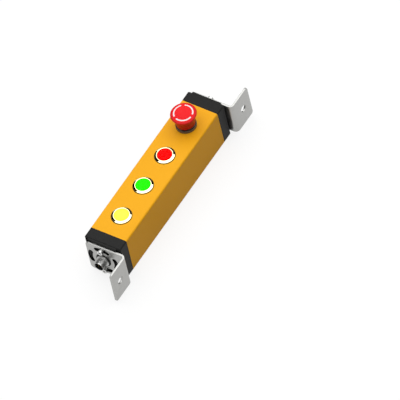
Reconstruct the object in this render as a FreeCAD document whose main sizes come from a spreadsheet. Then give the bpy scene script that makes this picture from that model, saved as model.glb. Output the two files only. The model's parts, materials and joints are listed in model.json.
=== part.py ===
import FreeCAD, Part
import math
import os
import Sketcher

# A slim safety control station in millimetres: a painted aluminium profile with two plastic end caps,
# three lit pushbuttons, an emergency stop, a round plug and two steel swivel brackets.
#
# The origin is the middle of the line between the two rail bolt holes, on the brackets' rail face.
# X runs along the rail, Y from the rail to the box and Z out of the front face.

Vector = FreeCAD.Vector
UP = Vector(0, 0, 1)

# Driving dimensions, one for each size that can be set by itself
SIZES = {
    # painted profile
    "body_length": 194.0,
    "body_width": 47.0,
    "body_depth": 52.0,
    "body_corner": 4.0,
    "wall": 2.5,
    "port_width": 7.5,
    "port_inset": 5.5,
    "rib_reach": 2.5,
    "rib_thickness": 2.0,
    "groove_gap": 0.2,
    # end caps and their gaskets
    "gasket_thickness": 1.0,
    "gasket_rim": 2.4,
    "cap_length": 13.0,
    "cap_edge": 1.2,
    "hollow_depth": 8.0,
    "hollow_width": 28.0,
    "hollow_height": 25.0,
    "land_width": 37.0,
    "land_inset": 0.6,
    "land_height": 1.5,
    "journal_diameter": 18.5,
    "journal_proud": 0.3,
    "recess_width": 7.8,
    "recess_depth": 4.0,
    # swivel brackets
    "rail_to_axis": 32.0,
    "plate_reach": 20.5,
    "plate_height": 45.0,
    "plate_thickness": 2.5,
    "plate_corner": 4.0,
    "bend_radius": 3.0,
    "flange_length": 32.5,
    "flange_corner": 3.0,
    "rail_hole": 9.0,
    "rail_hole_to_tip": 14.0,
    "slot_circle": 33.0,
    "slot_width": 4.6,
    "slot_sweep": 20.0,
    # screws and clearances
    "screw_diameter": 4.0,
    "screw_hole": 4.5,
    "cap_screw_reach": 12.0,
    "cap_head_flats": 6.0,
    "cap_head_height": 2.6,
    "clamp_screw_length": 9.0,
    "clamp_head_diameter": 7.0,
    "clamp_head_height": 4.0,
    "clamp_key": 3.0,
    "clamp_key_depth": 2.2,
    "clamp_tip_gap": 1.0,
    "seat_gap": 0.05,
    "journal_gap": 0.1,
    # round plug at the near end
    "plug_thread": 12.0,
    "plug_nose": 10.2,
    "plug_flange": 15.4,
    "plug_flange_thickness": 1.5,
    "plug_bore": 8.8,
    "plug_socket_depth": 8.0,
    "plug_edge": 0.6,
    "plug_nut_flats": 14.0,
    "plug_nut_thickness": 3.0,
    "plug_tail": 2.0,
    "pin_width": 0.9,
    "pin_circle": 5.65,
    "pin_reach": 6.0,
    "key_width": 1.0,
    "key_height": 0.7,
    # circuit board and wiring
    "board_end_gap": 5.0,
    "board_thickness": 1.6,
    "board_drop": 35.0,
    "board_side_gap": 0.3,
    "header_length": 9.0,
    "header_width": 12.0,
    "header_height": 8.0,
    "header_inset": 5.0,
    "ribbon_width": 7.0,
    "ribbon_thickness": 1.2,
    "ribbon_bend_share": 0.45,
    # lit pushbuttons
    "end_margin": 28.0,
    "button_hole": 19.0,
    "bezel_diameter": 24.0,
    "bezel_flat": 20.4,
    "bezel_height": 2.0,
    "lens_diameter": 16.4,
    "lens_gap": 0.2,
    "lens_skirt": 3.0,
    "barrel_depth": 13.0,
    "spigot_width": 10.0,
    "spigot_length": 5.0,
    "guide_width": 5.0,
    "guide_length": 11.0,
    "guide_gap": 0.3,
    "button_travel": 2.0,
    "button_nut_flats": 22.0,
    "nut_thickness": 3.5,
    "switch_width": 15.0,
    "switch_height": 16.0,
    "blade_width": 2.8,
    "blade_thickness": 0.5,
    "blade_pitch": 7.0,
    "blade_tip": 1.2,
    "blade_gap": 0.3,
    # emergency stop
    "seal_inset": 0.3,
    "seal_thickness": 0.4,
    "stop_hole": 16.2,
    "stop_thread_gap": 0.1,
    "collar_diameter": 23.8,
    "collar_height": 3.6,
    "collar_wall": 0.45,
    "collar_floor": 1.2,
    "sleeve_diameter": 18.4,
    "sleeve_height": 9.0,
    "sleeve_wall": 2.2,
    "neck_diameter": 22.3,
    "neck_bottom": 5.6,
    "neck_straight": 9.8,
    "neck_top_diameter": 25.2,
    "neck_top": 16.0,
    "neck_wall": 1.6,
    "head_diameter": 30.0,
    "head_under": 20.6,
    "head_edge": 21.5,
    "head_bevel": 0.6,
    "head_flat": 11.5,
    "head_top": 24.0,
    "head_hollow_top": 19.0,
    "stop_travel": 4.0,
    "stop_stem_diameter": 7.0,
    "stem_gap": 0.3,
    "stop_stem_reach": 2.0,
    "stem_seat": 2.0,
    "stop_barrel_depth": 16.0,
    "stop_nut_flats": 20.0,
    "contact_width": 16.0,
    "contact_height": 13.0,
    "spring_diameter": 11.6,
    "spring_wire": 0.9,
    "spring_turns": 3.0,
}

doc = FreeCAD.newDocument("control_station")
sheet = doc.addObject("Spreadsheet::Sheet", "Sizes")
for row, (alias, number) in enumerate(SIZES.items(), start=1):
    sheet.set(f"A{row}", alias)
    sheet.set(f"B{row}", str(number))
    sheet.setAlias(f"B{row}", alias)
doc.recompute()


class Size:
    """A size worked out from the sheet: the expression that a feature is bound to, and its number."""

    def __init__(self, text, value):
        self.text = text
        self.value = value

    def __add__(self, other):
        other = as_size(other)
        return Size(f"({self.text} + {other.text})", self.value + other.value)

    def __sub__(self, other):
        other = as_size(other)
        return Size(f"({self.text} - {other.text})", self.value - other.value)

    def __mul__(self, other):
        other = as_size(other)
        return Size(f"({self.text} * {other.text})", self.value * other.value)

    def __truediv__(self, other):
        other = as_size(other)
        return Size(f"({self.text} / {other.text})", self.value / other.value)

    def __rsub__(self, other):
        return as_size(other) - self

    def __neg__(self):
        return as_size(0) - self

    __radd__ = __add__
    __rmul__ = __mul__


def as_size(number):
    return number if isinstance(number, Size) else Size(f"({float(number)})", float(number))


def size(alias):
    return Size(f"Sizes.{alias}", float(sheet.get(alias)))


ZERO = as_size(0)
nodes = {}


def bind(feature, prop, value):
    feature.setExpression(prop, as_size(value).text)


def place(feature, x, y, z, rotation=FreeCAD.Rotation()):
    """Puts a piece at a point of the assembly, with its three distances bound to the sheet."""
    spot = [as_size(value) for value in (x, y, z)]
    feature.Placement = FreeCAD.Placement(Vector(*[value.value for value in spot]), rotation)
    for axis, value in zip("xyz", spot):
        bind(feature, f"Placement.Base.{axis}", value)


def keep(name, feature):
    """Marks a finished piece as a node of the assembly."""
    feature.Label = name
    nodes[name] = feature
    return feature


# Sketches

def new_body(name):
    return doc.addObject("PartDesign::Body", name)


def new_sketch(body, name, role, lift=ZERO, shift=(ZERO, ZERO)):
    """A sketch on one of the body's own planes, lifted along the plane's normal and shifted in it."""
    sketch = body.newObject("Sketcher::SketchObject", f"{body.Name}_{name}")
    plane = next(item for item in body.Origin.OriginFeatures if item.Role == role)
    sketch.AttachmentSupport = [(plane, "")]
    sketch.MapMode = "FlatFace"
    for axis, value in zip("xyz", (shift[0], shift[1], lift)):
        bind(sketch, f"AttachmentOffset.Base.{axis}", value)
    return sketch


def hold(sketch, rules):
    """Adds constraints, each with the size that drives it, and binds them to the sheet."""
    made = sketch.addConstraint([rule for rule, driver in rules])
    for index, (rule, driver) in zip(made, rules):
        if driver is not None:
            bind(sketch, f"Constraints[{index}]", driver)


def at_point(edge, end, x, y):
    """Two rules that hold one end of an edge at its distances from the sketch's origin."""
    return [
        (Sketcher.Constraint("DistanceX", -1, 1, edge, end, x.value), x),
        (Sketcher.Constraint("DistanceY", -1, 1, edge, end, y.value), y),
    ]


def outline(sketch, points):
    """A closed outline of straight edges through points of two sizes each."""
    points = [(as_size(x), as_size(y)) for x, y in points]
    first = sketch.GeometryCount
    count = len(points)
    for index, (x, y) in enumerate(points):
        next_x, next_y = points[(index + 1) % count]
        edge = Part.LineSegment(Vector(x.value, y.value, 0), Vector(next_x.value, next_y.value, 0))
        sketch.addGeometry(edge, False)
    rules = []
    for index in range(count):
        joined = Sketcher.Constraint("Coincident", first + index, 2, first + (index + 1) % count, 1)
        rules.append((joined, None))
    for index, (x, y) in enumerate(points):
        rules += at_point(first + index, 1, x, y)
    hold(sketch, rules)


def rectangle(sketch, x, y, width, height):
    """A rectangle about its centre."""
    x, y, width, height = [as_size(value) for value in (x, y, width, height)]
    half_width = width / 2
    half_height = height / 2
    outline(sketch, [
        (x - half_width, y - half_height),
        (x + half_width, y - half_height),
        (x + half_width, y + half_height),
        (x - half_width, y + half_height),
    ])


def circle(sketch, x, y, diameter):
    x, y, diameter = [as_size(value) for value in (x, y, diameter)]
    index = sketch.addGeometry(Part.Circle(Vector(x.value, y.value, 0), UP, diameter.value / 2), False)
    rule = Sketcher.Constraint("Diameter", index, diameter.value)
    hold(sketch, at_point(index, 3, x, y) + [(rule, diameter)])


def hexagon(sketch, flats):
    """A hexagon about the origin, by its width over the flats."""
    half = flats / 2
    corner = flats / math.sqrt(3)
    outline(sketch, [
        (corner, ZERO), (corner / 2, half), (-corner / 2, half),
        (-corner, ZERO), (-corner / 2, -half), (corner / 2, -half),
    ])


def rounded_rectangle(sketch, width, height, radius):
    """A rectangle about the origin whose corners are arcs, tangent to its sides."""
    first = sketch.GeometryCount
    half_width = width.value / 2
    half_height = height.value / 2
    bend = radius.value
    corners = [
        (half_width - bend, half_height - bend, 0), (bend - half_width, half_height - bend, 90),
        (bend - half_width, bend - half_height, 180), (half_width - bend, bend - half_height, 270),
    ]
    for x, y, turn in corners:
        rim = Part.Circle(Vector(x, y, 0), UP, bend)
        sketch.addGeometry(Part.ArcOfCircle(rim, math.radians(turn), math.radians(turn + 90)), False)
    for index in range(4):
        start = sketch.Geometry[first + index].EndPoint
        end = sketch.Geometry[first + (index + 1) % 4].StartPoint
        sketch.addGeometry(Part.LineSegment(start, end), False)
    rules = []
    for index in range(4):
        side = first + 4 + index
        rules.append((Sketcher.Constraint("Tangent", first + index, 2, side, 1), None))
        rules.append((Sketcher.Constraint("Tangent", side, 2, first + (index + 1) % 4, 1), None))
        level = "Horizontal" if index % 2 == 0 else "Vertical"
        rules.append((Sketcher.Constraint(level, side), None))
    for index in range(1, 4):
        rules.append((Sketcher.Constraint("Equal", first, first + index), None))
    rules.append((Sketcher.Constraint("Radius", first, bend), radius))
    top, left, bottom, right = [first + 4 + index for index in range(4)]
    rules += [
        (Sketcher.Constraint("DistanceY", -1, 1, top, 1, half_height), height / 2),
        (Sketcher.Constraint("DistanceX", -1, 1, left, 1, -half_width), -width / 2),
        (Sketcher.Constraint("DistanceY", -1, 1, bottom, 1, -half_height), -height / 2),
        (Sketcher.Constraint("DistanceX", -1, 1, right, 1, half_width), width / 2),
    ]
    hold(sketch, rules)


def arc_slot(sketch, circle_diameter, width, sweep):
    """A slot curved about the origin, above it, reaching the sweep to each side of the vertical."""
    mean = circle_diameter.value / 2
    half = width.value / 2
    low = math.radians(90 - sweep.value)
    high = math.radians(90 + sweep.value)
    centre = Vector(0, 0, 0)
    ends = [Vector(mean * math.cos(angle), mean * math.sin(angle), 0) for angle in (low, high)]
    for radius in (mean + half, mean - half):
        sketch.addGeometry(Part.ArcOfCircle(Part.Circle(centre, UP, radius), low, high), False)
    sketch.addGeometry(Part.ArcOfCircle(Part.Circle(ends[1], UP, half), high, high + math.pi), False)
    sketch.addGeometry(Part.ArcOfCircle(Part.Circle(ends[0], UP, half), low - math.pi, low), False)
    for end in ends:
        sketch.addGeometry(Part.LineSegment(centre, end), True)
    outer, inner, far_end, near_end, near_ray, far_ray = range(6)
    quarter = Size("90", 90.0)
    rules = [
        (Sketcher.Constraint("Coincident", outer, 3, -1, 1), None),
        (Sketcher.Constraint("Coincident", inner, 3, -1, 1), None),
        (Sketcher.Constraint("Coincident", near_ray, 1, -1, 1), None),
        (Sketcher.Constraint("Coincident", far_ray, 1, -1, 1), None),
        (Sketcher.Constraint("Coincident", near_ray, 2, near_end, 3), None),
        (Sketcher.Constraint("Coincident", far_ray, 2, far_end, 3), None),
        (Sketcher.Constraint("Tangent", outer, 2, far_end, 1), None),
        (Sketcher.Constraint("Tangent", far_end, 2, inner, 2), None),
        (Sketcher.Constraint("Tangent", inner, 1, near_end, 1), None),
        (Sketcher.Constraint("Tangent", near_end, 2, outer, 1), None),
        (Sketcher.Constraint("Radius", outer, mean + half), (circle_diameter + width) / 2),
        (Sketcher.Constraint("Radius", inner, mean - half), (circle_diameter - width) / 2),
        (Sketcher.Constraint("Angle", near_ray, low), (quarter - sweep) * Size("1 deg", 1.0)),
        (Sketcher.Constraint("Angle", far_ray, high), (quarter + sweep) * Size("1 deg", 1.0)),
    ]
    hold(sketch, rules)


# Features

def feature_of(body, kind, name):
    return body.newObject(f"PartDesign::{kind}", f"{body.Name}_{name}")


def pad(body, sketch, length):
    made = feature_of(body, "Pad", "pad")
    made.Profile = sketch
    bind(made, "Length", length)
    return made


def pocket(body, sketch, depth, outward=False):
    """Cuts against the sketch's normal, or along it when outward is set, and makes sure that it cut."""
    doc.recompute()
    before = body.Shape.Volume
    made = feature_of(body, "Pocket", "pocket")
    made.Profile = sketch
    made.Reversed = outward
    bind(made, "Length", depth)
    doc.recompute()
    if not body.Shape.Volume < before - 1e-6:
        raise RuntimeError(f"{made.Name} cuts nothing")
    return made


def turned(body, sketch):
    """Turns a sketch all the way round its vertical axis."""
    made = feature_of(body, "Revolution", "revolution")
    made.Profile = sketch
    made.ReferenceAxis = (sketch, ["V_Axis"])
    made.Angle = 360
    return made


def around(body, feature, sketch, count):
    """Repeats a feature evenly about the normal of its sketch."""
    made = feature_of(body, "PolarPattern", "pattern")
    made.Originals = [feature]
    made.Axis = (sketch, ["N_Axis"])
    made.Angle = 360
    made.Occurrences = count
    body.Tip = made
    return made


def edges_where(body, test):
    """Names of the edges of the body's last feature whose bounding box passes a test."""
    doc.recompute()
    shape = body.Tip.Shape
    return [f"Edge{index}" for index, edge in enumerate(shape.Edges, start=1) if test(edge.BoundBox)]


def dress(body, kind, prop, value, test):
    """A fillet or chamfer on the edges that pass a test."""
    names = edges_where(body, test)
    if not names:
        raise RuntimeError(f"{body.Name} has no edge for its {kind}")
    base = body.Tip
    made = feature_of(body, kind, kind.lower())
    made.Base = (base, names)
    bind(made, prop, value)
    return made


def near(number, target):
    return abs(number - target.value) < 1e-4


def revolved(name, points):
    """A body turned from an outline of radius and height pairs about its own vertical axis."""
    body = new_body(name)
    sketch = new_sketch(body, "section", "XZ_Plane")
    outline(sketch, points)
    turned(body, sketch)
    return body


def ring_points(inner, outer, low, high):
    return [(inner, low), (outer, low), (outer, high), (inner, high)]


# Planes and places that several pieces share

half_length = size("body_length") / 2
gasket_end = half_length + size("gasket_thickness")
cap_end = gasket_end + size("cap_length")
land_end = cap_end + size("land_height")
plate_end = land_end + size("plate_thickness")
journal_end = plate_end + size("journal_proud")
flange_tip = land_end + size("flange_length")
axis_y = size("rail_to_axis")
front = size("body_depth") / 2
port_y = size("body_width") / 2 - size("port_inset")
port_z = size("body_depth") / 2 - size("port_inset")
board_top = front - size("board_drop")
board_length = size("body_length") - 2 * size("board_end_gap")
pitch = (size("body_length") - 2 * size("end_margin")) / 3
thread_hole = size("screw_diameter") + 2 * size("seat_gap")
slot_radius = size("slot_circle") / 2

ALONG_X = FreeCAD.Rotation(Vector(0, 1, 0), 90)
AGAINST_X = FreeCAD.Rotation(Vector(0, 1, 0), -90)
HALF_TURN_Y = FreeCAD.Rotation(Vector(0, 1, 0), 180)
HALF_TURN_Z = FreeCAD.Rotation(Vector(0, 0, 1), 180)
NO_TURN = FreeCAD.Rotation()

# The near end is the one with the plug, the far end the one with the emergency stop.
ENDS = {"near": -1, "far": 1}


def swivel_bracket(name, rotation):
    """A folded steel angle: a plate on the swivel axis and a flange that runs along the rail."""
    body = new_body(name)
    thickness = size("plate_thickness")
    half_height = size("plate_height") / 2
    plate_tip = axis_y + size("plate_reach")
    fold = new_sketch(body, "fold", "XY_Plane", lift=-half_height)
    outline(fold, [
        (land_end, ZERO), (flange_tip, ZERO), (flange_tip, thickness),
        (plate_end, thickness), (plate_end, plate_tip), (land_end, plate_tip),
    ])
    pad(body, fold, size("plate_height"))
    tall = size("plate_height").value - 1e-3
    dress(body, "Fillet", "Radius", size("bend_radius"),
          lambda box: box.ZLength > tall and near(box.XMin, plate_end) and near(box.YMin, thickness))
    dress(body, "Fillet", "Radius", size("bend_radius") + thickness,
          lambda box: box.ZLength > tall and near(box.XMin, land_end) and near(box.YMin, ZERO))
    dress(body, "Fillet", "Radius", size("plate_corner"),
          lambda box: box.ZLength < 1e-3 and box.YLength < 1e-3 and near(box.YMin, plate_tip))
    dress(body, "Fillet", "Radius", size("flange_corner"),
          lambda box: box.ZLength < 1e-3 and box.XLength < 1e-3 and near(box.XMin, flange_tip))
    eye = new_sketch(body, "eye", "YZ_Plane", lift=plate_end, shift=(axis_y, ZERO))
    circle(eye, 0, 0, size("journal_diameter") + 2 * size("journal_gap"))
    pocket(body, eye, thickness)
    slot = new_sketch(body, "slot", "YZ_Plane", lift=plate_end, shift=(axis_y, ZERO))
    arc_slot(slot, size("slot_circle"), size("slot_width"), size("slot_sweep"))
    cut = pocket(body, slot, thickness)
    around(body, cut, slot, 4)
    bolt = new_sketch(body, "bolt", "XZ_Plane")
    circle(bolt, flange_tip - size("rail_hole_to_tip"), 0, size("rail_hole"))
    pocket(body, bolt, thickness)
    place(body, 0, 0, 0, rotation)
    return keep(name, body)


def housing_profile():
    """The extruded box: two screw ports, two board grooves and the holes for the four devices."""
    body = new_body("housing_profile")
    length = size("body_length")
    width = size("body_width")
    depth = size("body_depth")
    wall = size("wall")
    skin = new_sketch(body, "skin", "YZ_Plane", lift=-half_length)
    rounded_rectangle(skin, width, depth, size("body_corner"))
    rounded_rectangle(skin, width - 2 * wall, depth - 2 * wall, size("body_corner") - wall)
    pad(body, skin, length)
    ports = new_sketch(body, "ports", "YZ_Plane", lift=-half_length)
    for y, z in port_spots():
        rectangle(ports, y, z, size("port_width"), size("port_width"))
    pad(body, ports, length)
    ribs = new_sketch(body, "ribs", "YZ_Plane", lift=-half_length)
    rib_width = size("rib_reach") + wall / 2
    rib_y = width / 2 - wall / 2 - rib_width / 2
    upper = board_top + size("groove_gap") + size("rib_thickness") / 2
    lower = board_top - size("board_thickness") - size("groove_gap") - size("rib_thickness") / 2
    for y in (-rib_y, rib_y):
        for z in (lower, upper):
            rectangle(ribs, y, z, rib_width, size("rib_thickness"))
    pad(body, ribs, length)
    threads = new_sketch(body, "threads", "YZ_Plane", lift=half_length)
    for y, z in port_spots():
        circle(threads, y, z, thread_hole)
    pocket(body, threads, length)
    panel = new_sketch(body, "panel", "XY_Plane", lift=front)
    for x in button_places().values():
        circle(panel, x, 0, size("button_hole"))
    circle(panel, stop_place(), 0, size("stop_hole"))
    pocket(body, panel, wall)
    place(body, 0, axis_y, 0)
    return keep("housing_profile", body)


def port_spots(side=1):
    """The two opposite corners that take a screw, as a piece at the near or far end sees them."""
    return [(side * port_y, port_z), (-side * port_y, -port_z)]


def button_places():
    """Distance of each pushbutton from the middle of the box."""
    return {"yellow": -1.5 * pitch, "green": -0.5 * pitch, "red": 0.5 * pitch}


def stop_place():
    return 1.5 * pitch


def gasket(name, rotation):
    """A flat rubber frame between the profile and its cap."""
    body = new_body(name)
    sketch = new_sketch(body, "frame", "YZ_Plane", lift=half_length)
    width = size("body_width")
    depth = size("body_depth")
    rim = size("gasket_rim")
    rounded_rectangle(sketch, width, depth, size("body_corner"))
    rectangle(sketch, 0, 0, width - 2 * rim, depth - 2 * rim)
    pad(body, sketch, size("gasket_thickness"))
    place(body, 0, axis_y, 0, rotation)
    return keep(name, body)


def end_cap(name, side, rotation):
    """A moulded cap: a raised land for the bracket, a journal for its eye, and seats for the screws."""
    body = new_body(name)
    base = new_sketch(body, "base", "YZ_Plane", lift=gasket_end)
    rounded_rectangle(base, size("body_width"), size("body_depth"), size("body_corner"))
    pad(body, base, size("cap_length"))
    dress(body, "Chamfer", "Size", size("cap_edge"), lambda box: near(box.XMin, cap_end))
    land = new_sketch(body, "land", "YZ_Plane", lift=gasket_end + size("cap_length") / 2)
    rectangle(land, 0, 0, size("land_width"), size("body_depth") - 2 * size("land_inset"))
    pad(body, land, size("land_height") + size("cap_length") / 2)
    journal = new_sketch(body, "journal", "YZ_Plane", lift=land_end)
    circle(journal, 0, 0, size("journal_diameter"))
    pad(body, journal, size("plate_thickness") + size("journal_proud"))
    hollow = new_sketch(body, "hollow", "YZ_Plane", lift=gasket_end)
    rectangle(hollow, 0, 0, size("hollow_width"), size("hollow_height"))
    pocket(body, hollow, size("hollow_depth"), outward=True)
    holes = new_sketch(body, "holes", "YZ_Plane", lift=gasket_end)
    recesses = new_sketch(body, "recesses", "YZ_Plane", lift=land_end)
    for y, z in port_spots(side):
        circle(holes, y, z, size("screw_hole"))
        rectangle(recesses, y, z, size("recess_width"), size("recess_width"))
    pocket(body, recesses, size("recess_depth") + size("land_height"))
    pocket(body, holes, size("cap_length"), outward=True)
    clamps = new_sketch(body, "clamps", "YZ_Plane", lift=land_end)
    for z in (-slot_radius, slot_radius):
        circle(clamps, 0, z, thread_hole)
    pocket(body, clamps, size("clamp_screw_length") - size("plate_thickness") + size("clamp_tip_gap"))
    if side == ENDS["near"]:
        passage = new_sketch(body, "passage", "YZ_Plane", lift=journal_end)
        circle(passage, 0, 0, size("plug_thread") + 2 * size("seat_gap"))
        pocket(body, passage, journal_end - gasket_end)
    place(body, 0, axis_y, 0, rotation)
    return keep(name, body)


def group(name, master, spots, rotation):
    """One node of several like solids: placed copies of a master piece."""
    copies = []
    for index, (x, y, z) in enumerate(spots, start=1):
        copy = doc.addObject("App::Link", f"{name}_{index}")
        copy.LinkedObject = master
        copy.LinkTransform = False
        spot = [as_size(value) for value in (x, y, z)]
        copy.LinkPlacement = FreeCAD.Placement(Vector(*[value.value for value in spot]), rotation)
        for axis, value in zip("xyz", spot):
            bind(copy, f"LinkPlacement.Base.{axis}", value)
        copies.append(copy)
    made = doc.addObject("Part::Compound", name)
    made.Links = copies
    return keep(name, made)


def cap_screws():
    """Hexagon screws that hold each cap to the profile's ports."""
    screw = new_body("cap_screw")
    length = size("cap_length") - size("recess_depth") + size("gasket_thickness") + size("cap_screw_reach")
    shank = new_sketch(screw, "shank", "XY_Plane", lift=-length)
    circle(shank, 0, 0, size("screw_diameter"))
    pad(screw, shank, length)
    head = new_sketch(screw, "head", "XY_Plane")
    hexagon(head, size("cap_head_flats"))
    pad(screw, head, size("cap_head_height"))
    seat = cap_end - size("recess_depth")
    for end, side in ENDS.items():
        spots = [(side * seat, axis_y + y, z) for y, z in port_spots()]
        group(f"cap_screws_{end}", screw, spots, ALONG_X if side > 0 else AGAINST_X)


def clamp_screws():
    """Two socket screws a side that run through the bracket's slots into the cap."""
    radius = size("screw_diameter") / 2
    head = size("clamp_head_diameter") / 2
    length = size("clamp_screw_length")
    screw = revolved("clamp_screw", [
        (ZERO, -length), (radius, -length), (radius, ZERO),
        (head, ZERO), (head, size("clamp_head_height")), (ZERO, size("clamp_head_height")),
    ])
    socket = new_sketch(screw, "socket", "XY_Plane", lift=size("clamp_head_height"))
    hexagon(socket, size("clamp_key"))
    pocket(screw, socket, size("clamp_key_depth"))
    for end, side in ENDS.items():
        turn = ALONG_X if side > 0 else AGAINST_X
        heads = [(side * plate_end, axis_y, z) for z in (-slot_radius, slot_radius)]
        group(f"clamp_screws_{end}", screw, heads, turn)


def plug_parts():
    """The round plug: a metal shell with a keyed socket, its pin carrier, pins and locknut."""
    thread = size("plug_thread") / 2
    bore = size("plug_bore") / 2
    flange = size("plug_flange") / 2
    nose = size("plug_nose")
    wall_depth = journal_end - gasket_end - size("hollow_depth")
    nut_low = -wall_depth - size("plug_nut_thickness")
    tail = nut_low - size("plug_tail")
    shell = revolved("plug_shell", [
        (bore, tail), (thread, tail), (thread, ZERO), (flange, ZERO),
        (flange, size("plug_flange_thickness")), (thread, size("plug_flange_thickness")),
        (thread, nose), (bore, nose),
    ])
    dress(shell, "Chamfer", "Size", size("plug_edge"),
          lambda box: near(box.ZMin, nose) and near(box.XMax, thread))
    socket_floor = nose - size("plug_socket_depth")
    key = new_sketch(shell, "key", "XY_Plane", lift=socket_floor)
    rectangle(key, 0, bore, size("key_width"), 2 * size("key_height"))
    pad(shell, key, size("plug_socket_depth") - size("plug_edge"))
    carrier = revolved("pin_carrier", [
        (ZERO, tail), (bore - size("seat_gap"), tail),
        (bore - size("seat_gap"), socket_floor), (ZERO, socket_floor),
    ])
    pins = new_body("plug_pins")
    feet = new_sketch(pins, "feet", "XY_Plane", lift=socket_floor)
    for x, y in pin_spots():
        rectangle(feet, x, y, size("pin_width"), size("pin_width"))
    pad(pins, feet, size("pin_reach"))
    nut = new_body("plug_nut")
    section = new_sketch(nut, "section", "XY_Plane", lift=nut_low)
    hexagon(section, size("plug_nut_flats"))
    circle(section, 0, 0, size("plug_thread") + 2 * size("seat_gap"))
    pad(nut, section, size("plug_nut_thickness"))
    for name, body in (("plug_shell", shell), ("pin_carrier", carrier), ("plug_pins", pins),
                       ("plug_nut", nut)):
        place(body, -journal_end, axis_y, 0, AGAINST_X)
        keep(name, body)
    return journal_end + tail


def pin_spots():
    """Four pins, evenly spaced on their circle."""
    reach = size("pin_circle") / (2 * math.sqrt(2))
    return [(x, y) for x in (-reach, reach) for y in (-reach, reach)]


def circuit_board():
    """The board that the devices stand on, slid into the profile's grooves."""
    body = new_body("circuit_board")
    width = size("body_width") - 2 * size("wall") - 2 * size("board_side_gap")
    sheet_outline = new_sketch(body, "outline", "XY_Plane", lift=board_top - size("board_thickness"))
    rectangle(sheet_outline, 0, 0, board_length, width)
    pad(body, sheet_outline, size("board_thickness"))
    slots = new_sketch(body, "slots", "XY_Plane", lift=board_top)
    slot_width = size("blade_width") + 2 * size("blade_gap")
    slot_thickness = size("blade_thickness") + 2 * size("blade_gap")
    for x in list(button_places().values()) + [stop_place()]:
        for y in (-size("blade_pitch") / 2, size("blade_pitch") / 2):
            rectangle(slots, x, y, slot_width, slot_thickness)
    pocket(body, slots, size("board_thickness"))
    place(body, 0, axis_y, 0)
    return keep("circuit_board", body)


def header_and_ribbon(plug_tail_x):
    """The board's header, and the flat ribbon that runs to it from the back of the plug."""
    inlet_x = size("header_inset") - board_length / 2
    body = new_body("board_header")
    base = new_sketch(body, "base", "XY_Plane", lift=board_top)
    rectangle(base, inlet_x + size("header_length") / 2, 0, size("header_length"), size("header_width"))
    pad(body, base, size("header_height"))
    place(body, 0, axis_y, 0)
    keep("board_header", body)
    inlet_z = (board_top + size("header_height") / 2).value
    start_x = -plug_tail_x.value
    end_x = inlet_x.value
    run = (end_x - start_x) / 3
    points = [
        Vector(start_x, 0, 0), Vector(start_x + run, 0, 0),
        Vector(end_x - run, 0, inlet_z), Vector(end_x, 0, inlet_z),
    ]
    ribbon = doc.addObject("Part::Feature", "plug_ribbon")
    ribbon.Shape = strip(points, size("ribbon_width").value, size("ribbon_thickness").value)
    place(ribbon, 0, axis_y, 0)
    return keep("plug_ribbon", ribbon)


def strip(points, width, thickness):
    """A flat strip along straight runs joined by the largest tangent arcs that the runs allow."""
    edges = []
    last = points[0]
    for before, corner, after in zip(points, points[1:], points[2:]):
        back = (before - corner).normalize()
        ahead = (after - corner).normalize()
        half_turn = (math.pi - back.getAngle(ahead)) / 2
        reach = size("ribbon_bend_share").value * min((before - corner).Length, (after - corner).Length)
        radius = reach / math.tan(half_turn)
        print(f"ribbon bend radius {radius:.1f} mm")
        inward = (back + ahead).normalize()
        start = corner + back * reach
        middle = corner + inward * (radius / math.cos(half_turn) - radius)
        end = corner + ahead * reach
        edges.append(Part.LineSegment(last, start).toShape())
        edges.append(Part.Arc(start, middle, end).toShape())
        last = end
    edges.append(Part.LineSegment(last, points[-1]).toShape())
    path = Part.Wire(edges)
    half_width = width / 2
    half = thickness / 2
    corners = [(-half_width, -half), (half_width, -half), (half_width, half), (-half_width, half)]
    section = Part.makePolygon([points[0] + Vector(0, y, z) for y, z in corners + corners[:1]])
    solid = path.makePipeShell([section], True, False)
    expected = width * thickness * path.Length
    if abs(solid.Volume - expected) > 0.01 * expected:
        raise RuntimeError("the ribbon's volume is not its section times its length")
    return solid


def device(name, body, x):
    """Stands a device's piece on the front face at its own place."""
    place(body, x, axis_y, front)
    return keep(name, body)


def blades(name, x, top):
    """Two flat terminals that run from a switch down through the board."""
    body = new_body(name)
    low = -size("board_drop") - size("board_thickness") - size("blade_tip")
    section = new_sketch(body, "section", "XY_Plane", lift=low)
    for y in (-size("blade_pitch") / 2, size("blade_pitch") / 2):
        rectangle(section, 0, y, size("blade_width"), size("blade_thickness"))
    pad(body, section, top - low)
    return device(name, body, x)


def coil_spring(name, x, diameter, wire, low, high):
    """A compression spring: a square wire swept along a helix between two heights."""
    body = new_body(name)
    section = new_sketch(body, "wire", "XZ_Plane", shift=(ZERO, low + wire / 2))
    rectangle(section, diameter / 2, 0, wire, wire)
    coil = feature_of(body, "AdditiveHelix", "coil")
    coil.Profile = section
    coil.ReferenceAxis = (section, ["V_Axis"])
    coil.Mode = "height-turns-growth"
    bind(coil, "Height", high - low - wire)
    bind(coil, "Turns", size("spring_turns"))
    return device(name, body, x)


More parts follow.
